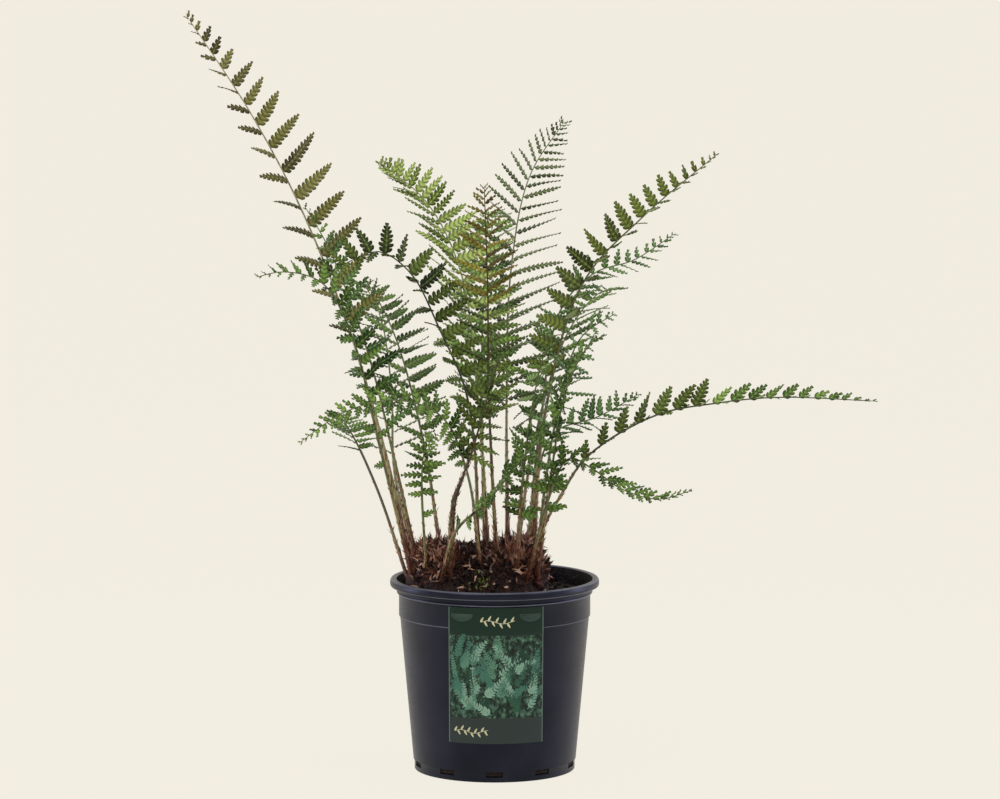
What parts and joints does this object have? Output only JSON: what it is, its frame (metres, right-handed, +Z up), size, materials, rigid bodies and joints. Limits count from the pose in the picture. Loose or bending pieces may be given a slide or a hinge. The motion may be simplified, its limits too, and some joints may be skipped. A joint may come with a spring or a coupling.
{
  "type": "potted barnesii male fern",
  "caption": "Fern with long arching fronds of toothed leaflets on a scaly crown, rooted in peat in a round nursery container.",
  "frame": {"origin": "on the pot's axis, in the plane that the pot stands on", "axes": "+Z up along the pot's axis, -Y towards the front with the label, +X to the right as seen from the front"},
  "size_m": [0.6276, 0.455, 0.685],
  "materials": {
    "pot": "satin",
    "soil": "matte",
    "crown": "matte",
    "label": "satin",
    "leaf_olive": "matte",
    "leaf_golden": "matte",
    "leaf_light": "matte",
    "leaf_green": "matte",
    "leaf_blue": "matte"
  },
  "bodies": {
    "root": {"pot": "pot", "soil": "soil", "crown": "crown", "label": "label", "frond_tall_left": "leaf_olive", "frond_tall_centre": "leaf_blue", "frond_long_right": "leaf_green", "frond_right_tall": "leaf_green", "frond_left_arch": "leaf_green", "frond_golden_upright": "leaf_golden", "frond_light_upright": "leaf_light", "frond_lower_left": "leaf_green", "frond_left_second": "leaf_olive", "frond_lower_right": "leaf_green", "frond_right_behind": "leaf_blue", "frond_left_front": "leaf_green", "frond_left_behind": "leaf_blue", "frond_right_mid": "leaf_green", "frond_right_small": "leaf_blue", "frond_leftmost": "leaf_green", "frond_young_front": "leaf_light", "frond_scaly_front": "leaf_green", "frond_cross_front": "leaf_green", "frond_right_front": "leaf_blue", "frond_centre_front": "leaf_green", "frond_back_left": "leaf_green", "frond_back_centre": "leaf_green", "frond_back_right": "leaf_green"}
  },
  "joints": []
}
